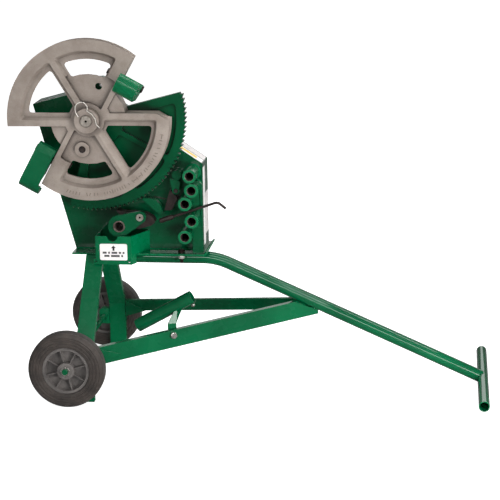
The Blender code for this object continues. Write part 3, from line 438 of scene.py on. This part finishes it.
def bead(name, path, radius, body, mat=None, closed=False):
    """A weld bead: a cord with even ripples and a little unevenness."""
    bm = bmesh.new()
    points = []
    sizes = []
    pts = [Vector(p) for p in path]
    spans = list(zip(pts, pts[1:] + ([pts[0]] if closed else [])))
    if not closed:
        spans = spans[:len(pts) - 1]
    for a, b in spans:
        steps = max(1, int((b - a).length / 0.0016))
        for k in range(steps):
            p = a.lerp(b, k / steps)
            wobble = noise.noise(p * 160.0)
            points.append(p)
            sizes.append(radius * (0.86 + 0.20 * abs(sin(len(points) * 1.25)) + 0.22 * wobble))
    if not closed:
        points.append(pts[-1])
        sizes.append(radius * 0.7)
    tube_along(bm, points, sizes, 8, closed)
    return piece(name, bm, mat or PAINT["bead"], body)


def circle(centre, radius, y, steps=40, start=0.0, end=360.0):
    out = []
    for k in range(steps):
        turn = radians(start + (end - start) * k / steps)
        out.append(Vector((centre.x + radius * cos(turn), y, centre.z + radius * sin(turn))))
    return out


def tyres(mat):
    """Solid tyres with a stepped side wall, ribs and a grooved tread."""
    for label in ("front", "rear"):
        node = "tyre_" + label
        low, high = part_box(node)
        centre = (low + high) / 2
        half = (high.y - low.y) / 2
        radius = (high.z - low.z) / 2
        inner = 0.0784
        side = [(inner, half - 0.004), (0.0805, half - 0.0015), (0.0850, half - 0.0005), (0.0885, half),
                (0.0900, half - 0.0012), (0.0915, half - 0.0012), (0.0930, half), (0.0985, half),
                (0.1000, half - 0.0014), (0.1020, half - 0.0014), (0.1035, half), (0.1090, half),
                (0.1110, half - 0.0018), (0.1130, half - 0.0018), (0.1145, half - 0.0012)]
        shoulder = [(radius - 0.0075, half - 0.0035), (radius - 0.0045, half - 0.0065),
                    (radius - 0.0024, half - 0.0095)]
        tread = []
        for k in range(3):
            y = half - 0.0110 - 0.0075 * k
            crown = radius - 0.0003 * (3 - k)
            groove = radius - 0.0030
            tread += [(crown, y), (crown, y - 0.0045), (groove, y - 0.0052), (groove, y - 0.0070)]
        outer = side + shoulder + tread
        profile = outer + [(r, -y) for r, y in reversed(outer)]
        bm = bmesh.new()
        lathe(bm, profile, 96, centre)
        tyre = piece("ribbed_" + node, bm, mat, "wheel_" + label, angle=28)
        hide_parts(node)


def spring(mat):
    """The holding pawl's coil spring, with a straight tail at each end."""
    low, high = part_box("pawl_spring")
    y = (low.y + high.y) / 2
    start = Vector((low.x + 0.001, y, high.z - 0.0022))
    end = Vector((high.x - 0.001, y, low.z + 0.0022))
    run = (end - start)
    along = run.normalized()
    u = Vector((0, 1, 0))
    v = along.cross(u)
    turns, coil = 15, 0.0026
    path = [start]
    steps = turns * 12
    for k in range(steps + 1):
        t = k / steps
        angle = 2 * pi * turns * t
        path.append(start + run * (0.14 + 0.72 * t) + (u * cos(angle) + v * sin(angle)) * coil)
    path.append(end)
    bm = bmesh.new()
    tube_along(bm, path, 0.0006, 6)
    coil_piece = piece("coil_spring", bm, mat, "frame")
    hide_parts("pawl_spring")


def patch(name, corners, mat, body, thick=LABEL_THICK, round_by=0.0):
    """A thin flat label with rounded corners, raised along the normal of its corners."""
    points = [Vector(c) for c in corners]
    normal = (points[1] - points[0]).cross(points[2] - points[0]).normalized()
    ring = []
    count = len(points)
    for i, here in enumerate(points):
        if round_by <= 0:
            ring.append(here)
            continue
        back = (points[i - 1] - here).normalized()
        ahead = (points[(i + 1) % count] - here).normalized()
        for k in range(6):
            t = k / 5
            a, b = here + back * round_by, here + ahead * round_by
            ring.append(a * (1 - t) ** 2 + here * 2 * t * (1 - t) + b * t ** 2)
    bm = bmesh.new()
    near = [bm.verts.new(p + normal * thick) for p in ring]
    far = [bm.verts.new(p - normal * 0.00005) for p in ring]
    bm.faces.new(near)
    bm.faces.new(list(reversed(far)))
    for i in range(len(ring)):
        j = (i + 1) % len(ring)
        bm.faces.new((near[j], near[i], far[i], far[j]))
    return piece(name, bm, mat, body, smooth=False)


def tube_paint(name, centre, bore):
    """Green outside, in a lighter copy (1.1) that is painted light, and oily dark steel inside the bore."""
    look = Look(name, 0.24)
    inside = look.maths("LESS_THAN", look.distance_from(centre), bore)
    oily = look.spread(look.noise(130.0, 4.0), 0.3, 0.7)
    steel = look.mix(oily, linear(66, 54, 52), linear(140, 124, 120))
    look.colour(look.mix(inside, green_base(look, 1.1), steel))
    look.metal(look.maths("MULTIPLY", inside, 0.5))
    look.bsdf.inputs["Coat Weight"].default_value = 0.3
    look.bsdf.inputs["Coat Roughness"].default_value = 0.10
    look.bump([(look.noise(260.0, 2.0), 0.12)], 0.0012)
    return look.mat


def pin_tubes():
    """The five pin tubes, each with its weld ring on the head's front plate."""
    for k in range(1, 6):
        node = "pin_tube_%d" % k
        centre = middle(node)
        outer = (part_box(node)[1].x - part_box(node)[0].x) / 2
        dress(tube_paint("pin_tube_paint_%d" % k, centre, 0.0150), node)
        ring = circle(centre, outer + 0.0012, HEAD_FRONT - 0.0010, 60)
        bead("tube_weld_%d" % k, ring, 0.0030, "frame", closed=True)


def lower_bar_point(run, height, side=-1):
    """A point on a lower bar's outer face, from the distance along it and down from its top edge."""
    yaw = atan(0.419)
    out = 0.010
    x = 0.079 + run * cos(yaw) - out * sin(yaw)
    y = -0.292 + run * sin(yaw) - out * cos(yaw)
    z = 0.1856 + 0.1488 * cos(yaw) * run - height
    return at(x, -side * y, z)


def welds():
    """The beads that show: where bars meet legs and tongue, and the head meets its base plate."""
    for side, label in ((-1, "front"), (1, "rear")):
        curve = []
        for k in range(15):
            t = k / 14
            curve.append(lower_bar_point(0.004 + 0.066 * t, 0.003 + 0.050 * t ** 0.8, side))
        # The lower bars' beads are pale green-white: a painted highlight along the bar ends' edges.
        bead("bar_weld_" + label, curve, 0.0016, "frame", PAINT["scuff"])
    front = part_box("head_front_plate")
    seam = [Vector((front[0].x + 0.132, HEAD_FRONT - 0.0008, front[0].z + 0.0008)),
            Vector((front[1].x - 0.034, HEAD_FRONT - 0.0008, front[0].z + 0.0008))]
    bead("head_seam", seam, 0.0024, "frame")
    arm = middle("arm_bearing")
    bead("bearing_weld", circle(arm, 0.0270, HEAD_FRONT - 0.0008, 60), 0.0028, "frame", closed=True)


def upright(left, right, bottom, top, y):
    """The corners of a label that faces the camera's side, -Y."""
    return [(left, y, bottom), (right, y, bottom), (right, y, top), (left, y, top)]


def front_label(paper):
    """The roller support's label: an arrow over two rows of plain bars."""
    ink = printed("label_ink", linear(28, 24, 24), linear(44, 40, 40), 200.0)
    grey = printed("label_grey_ink", linear(62, 57, 57), linear(190, 184, 182), 420.0)
    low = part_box("roller_support")[0]
    left, right = at(0.0745, 0, 0).x, at(0.1680, 0, 0).x
    bottom, top = low.z + 0.0150, low.z + 0.0715
    patch("front_label", upright(left, right, bottom, top, low.y), paper, "frame", round_by=0.006)

    y = low.y - LABEL_THICK
    mid = (left + right) / 2
    tip = top - 0.0055
    half_shaft, half_head, head_long, long = 0.0032, 0.0080, 0.0090, 0.0180
    arrow = [(mid - half_shaft, y, tip - long), (mid + half_shaft, y, tip - long),
             (mid + half_shaft, y, tip - head_long), (mid + half_head, y, tip - head_long), (mid, y, tip),
             (mid - half_head, y, tip - head_long), (mid - half_shaft, y, tip - head_long)]
    patch("label_arrow", arrow, ink, "frame", thick=INK_THICK)

    unit = 0.00145
    gap, tall = 4, 0.0068
    rows = ((bottom + 0.0225, (9, 4, 13, 5, 4)), (bottom + 0.0115, (12, 20, 4)))
    for row, (z, widths) in enumerate(rows):
        x = mid - (sum(widths) + gap * (len(widths) - 1)) * unit / 2
        for k, width in enumerate(widths):
            corners = upright(x, x + width * unit, z, z + tall, y)
            patch("label_bar_%d_%d" % (row, k), corners, grey, "frame", thick=INK_THICK)
            x += (width + gap) * unit


def flange_labels(paper):
    """The labels on the head's slanting and upright right-hand flanges."""
    yellow = printed("label_yellow", linear(250, 205, 30), linear(255, 228, 110), 140.0)
    speckled = printed("label_small_print", linear(232, 226, 224), linear(150, 138, 140), 120.0)
    corner = at(0.414, 0, 0.750)
    ridge = at(0.0375, 0, 1.001)
    slant = (ridge - corner).normalized()
    lift = Vector((slant.z, 0, -slant.x)).normalized() * LABEL_THICK

    def on_slant(near, far, y0, y1):
        a, b = corner + slant * far, corner + slant * near
        return [Vector((p.x, y, p.z)) for p, y in ((a, y0), (b, y0), (b, y1), (a, y1))]

    band = [c + lift for c in on_slant(0.028, 0.110, 0.0100, 0.0340)]
    patch("slant_label", on_slant(0.005, 0.130, -0.0030, 0.0430), paper, "frame", round_by=0.002)
    patch("slant_label_band", band, yellow, "frame", thick=INK_THICK)
    patch("slant_label_back", on_slant(0.004, 0.130, 0.0490, 0.1060), speckled, "frame",
          round_by=0.002)
    for name, y0, y1, z0, z1, mat in (("side_label", -0.0030, 0.0400, 0.468, 0.736, paper),
                                      ("side_label_back", 0.0450, 0.1080, 0.498, 0.640, speckled)):
        corners = [(corner.x, y0, z0), (corner.x, y1, z0), (corner.x, y1, z1), (corner.x, y0, z1)]
        patch(name, corners, mat, "frame", round_by=0.002)


def labels():
    """Blank stock where the machine carries stickers."""
    paper = printed("label_stock", linear(252, 248, 246), linear(226, 218, 218), 90.0)
    front_label(paper)
    flange_labels(paper)


def stroke(bm, centre, u, v, length, wide):
    """One raised stroke with sloping sides, centred on the rim's face."""
    corners = ((-1, -1), (1, -1), (1, 1), (-1, 1))
    near = [bm.verts.new(centre + u * (length * 0.9 * i) + v * (wide * 0.6 * j) + Vector((0, -0.0006, 0)))
            for i, j in corners]
    far = [bm.verts.new(centre + u * (length * i) + v * (wide * j) + Vector((0, 0.0001, 0)))
           for i, j in corners]
    bm.faces.new(near)
    bm.faces.new(list(reversed(far)))
    for i in range(4):
        j = (i + 1) % 4
        bm.faces.new((near[j], near[i], far[i], far[j]))


def rim_marks():
    """Small raised casting marks round the lower rim's front face; they spell nothing, and are coloured
    darker than the rim, which paints the shade along their edges.
    """
    ring_radius = 0.2520
    bm = bmesh.new()
    angle = 252.0
    while angle < 350.0:
        if rng.random() < 0.16:
            angle += 1.6
            continue
        length = 0.0040 + 0.0030 * rng.random()
        wide = 0.0009 + 0.0005 * rng.random()
        lean = radians(rng.choice((0, 0, 18, -18, 90)))
        turn = radians(angle)
        out = Vector((cos(turn), 0, sin(turn)))
        along = Vector((-sin(turn), 0, cos(turn)))
        u = out * cos(lean) + along * sin(lean)
        v = along * cos(lean) - out * sin(lean)
        stroke(bm, Vector((BEND.x, SHOE_RIM_FACE, BEND.z)) + out * ring_radius, u, v, length, wide)
        angle += 1.9 + 0.8 * rng.random()
    piece("rim_marks", bm, PAINT["marks"], "bend_head", smooth=False)


def paint_everything():
    """Every CAD node's look, and every added piece."""
    # The beads' green is a lighter copy (1.25): painted light.
    PAINT["bead"] = green_paint("green_bead", 1.25, 0.16)
    # A pale green-white: painted highlight for the lower bars' beads.
    PAINT["scuff"] = printed("scuffed_bead", linear(214, 224, 216), linear(120, 170, 146), 200.0)
    PAINT["cast"] = cast_aluminium()
    # Darker than the casting round them: painted shade along the marks' edges.
    PAINT["marks"] = printed("rim_mark_painted_shade", linear(122, 110, 100), linear(104, 92, 84), 300.0)
    black = black_steel()

    # Each green's number makes a lit or shaded copy of one enamel: painted light on the frame (1.10), painted
    # shade on the bars (0.90), and the darkest painted shade (0.62) on the head, its arm, pawl and lever.
    dress(green_paint("frame_enamel", 1.10), "base_plate", "leg_front", "leg_rear", "holder_bracket",
          "roller_support", "axle_bracket_front", "axle_bracket_rear", "axle")
    dress(green_paint("bar_enamel", 0.90), "bar_front", "bar_rear", "bar_gusset_front", "bar_gusset_rear")
    dress(tube_enamel(), "tongue", "t_handle", "holder_tube")
    dress(green_paint("head_enamel_painted_shade", 0.62), "head_front_plate", "head_shell", "head_back_plate", "pin_bar",
          "drive_arm", "arm_bearing", "hold_pawl", "hold_pin", "lock_lever")
    dress(cast_green(), "hook_upper", "hook_lower")
    dress(gear_paint(), "sector_gear")
    dress(PAINT["cast"], "bending_shoe")
    dress(turned_steel("faced_shaft", BEND, linear(190, 182, 172), linear(150, 141, 132)), "main_shaft")
    dress(turned_steel("faced_pawl_bolt", middle("pawl_bolt"), linear(206, 200, 190), linear(160, 152, 142)),
          "pawl_bolt")
    dress(turned_steel("bored_hub", middle("arm_hub"), linear(150, 134, 126), linear(104, 92, 86)), "arm_hub")
    dress(zinc(), "axle_washer_front", "axle_washer_rear", "cotter_front", "cotter_rear", "holder_bolt",
          "holder_screw")
    dress(spring_wire(), "shaft_clip")
    dress(black, "bearing_tube", "drive_pawl", "pawl_stop", "release_rod", "lever_bolt", "drive_bolt",
          "hook_upper_pin", "hook_lower_pin")
    dress(stud_finish(), "base_bolt")
    dress(hub_nylon(), "wheel_hub_front", "wheel_hub_rear")

    tyres(tyre_rubber())
    spring(black)
    pin_tubes()
    welds()
    labels()
    rim_marks()


# ---------------------------------------------------------------- set

def pale_floor():
    """A wide pale floor that stays white in the picture and dim in the paint's reflections."""
    half_size = 14.0
    bm = bmesh.new()
    for x, y in ((-1, -1), (1, -1), (1, 1), (-1, 1)):
        bm.verts.new((x * half_size, y * half_size, -0.0005))
    bm.faces.new(list(bm.verts))
    mesh = bpy.data.meshes.new("floor")
    bm.to_mesh(mesh)
    bm.free()
    floor = bpy.data.objects.new("floor", mesh)
    bpy.context.scene.collection.objects.link(floor)
    look = Look("pale_floor", 0.9)
    path = look.add("ShaderNodeLightPath")
    pale = look.mix(look.noise(2.0), (0.70, 0.70, 0.70), (0.74, 0.74, 0.74))
    look.colour(look.mix(path.outputs["Is Glossy Ray"], pale, (0.16, 0.16, 0.16)))
    seen = path.outputs["Is Camera Ray"]
    look.tree.links.new(look.maths("MULTIPLY", seen, 0.90), look.bsdf.inputs["Emission Strength"])
    look.bsdf.inputs["Emission Color"].default_value = (1, 1, 1, 1)
    mesh.materials.append(look.mat)


def studio_world():
    """White behind the object, and a low even light from all round."""
    world = bpy.data.worlds.new("studio")
    world.use_nodes = True
    tree = world.node_tree
    back = tree.nodes["Background"]
    back.inputs[0].default_value = (1, 1, 1, 1)
    path = tree.nodes.new("ShaderNodeLightPath")
    dim = tree.nodes.new("ShaderNodeMapRange")
    tree.links.new(path.outputs["Is Glossy Ray"], dim.inputs["Value"])
    dim.inputs["To Min"].default_value = 0.26
    dim.inputs["To Max"].default_value = 0.07
    level = tree.nodes.new("ShaderNodeMapRange")
    tree.links.new(path.outputs["Is Camera Ray"], level.inputs["Value"])
    tree.links.new(dim.outputs[0], level.inputs["To Min"])
    level.inputs["To Max"].default_value = 1.0
    tree.links.new(level.outputs[0], back.inputs[1])
    bpy.context.scene.world = world


def softbox(name, place, target, size, power, glossy=True, diffuse=True):
    """An area light; it can be kept out of reflections, or give nothing but reflections."""
    light = bpy.data.lights.new(name, "AREA")
    light.shape = "RECTANGLE"
    light.size, light.size_y = size
    light.energy = power
    lamp = bpy.data.objects.new(name, light)
    bpy.context.scene.collection.objects.link(lamp)
    lamp.visible_glossy = glossy
    lamp.visible_diffuse = diffuse
    lamp.visible_camera = False
    lamp.location = place
    lamp.rotation_euler = (Vector(target) - Vector(place)).to_track_quat("-Z", "Y").to_euler()
    return lamp


def set_up_lights():
    """Soft boxes in front and behind, and three long strips that only show as reflections."""
    softbox("key", (-1.2, -4.0, 3.6), (0, 0, 0.5), (1.2, 0.9), 50, glossy=False)
    softbox("fill", (3.4, -3.4, 2.2), (0, 0, 0.5), (1.4, 1.4), 36)
    softbox("low", (1.1, -1.5, 0.32), (0, 0, 0.30), (1.2, 0.5), 32, glossy=False)
    softbox("top", (0.4, 0.3, 4.3), (0, 0, 0.4), (3.0, 0.8), 55, glossy=False)
    softbox("rear_fill", (0.8, 4.0, 2.4), (0, 0, 0.5), (1.8, 1.2), 85, glossy=False)
    softbox("back", (0.6, 4.5, 2.1), (0.6, 0, 0.6), (6.0, 1.6), 34, diffuse=False)
    target = Vector((0.6, 0, 0.3))
    away = 4.0
    for k, degrees_up in enumerate((14, 54, 102)):
        rise = radians(degrees_up)
        place = target + Vector((0, -cos(rise), sin(rise))) * away
        softbox("strip_%d" % k, place, target, (5.0, 0.26), 62, diffuse=False)


def set_up_camera():
    """The camera stands well back, to the right of the bend head and a little above it."""
    yaw, pitch, roll = radians(6.805), radians(14.246), radians(-0.828)
    forward = Vector((-sin(yaw) * cos(pitch), cos(yaw) * cos(pitch), -sin(pitch)))
    right = Vector((cos(yaw), sin(yaw), 0))
    up = right.cross(forward)
    right, up = right * cos(roll) + up * sin(roll), up * cos(roll) - right * sin(roll)
    data = bpy.data.cameras.new("camera")
    data.lens = 122.756
    data.sensor_width = 36
    data.dof.use_dof = False
    camera = bpy.data.objects.new("camera", data)
    bpy.context.scene.collection.objects.link(camera)
    turn = Matrix((right, up, -forward)).transposed()
    camera.matrix_world = Matrix.Translation(at(1.2337, -5.5632, 1.8749)) @ turn.to_4x4()
    bpy.context.scene.camera = camera


paint_everything()
pale_floor()
studio_world()
set_up_lights()
set_up_camera()
scene = bpy.context.scene
scene.view_settings.view_transform = "Standard"
scene.view_settings.look = "None"
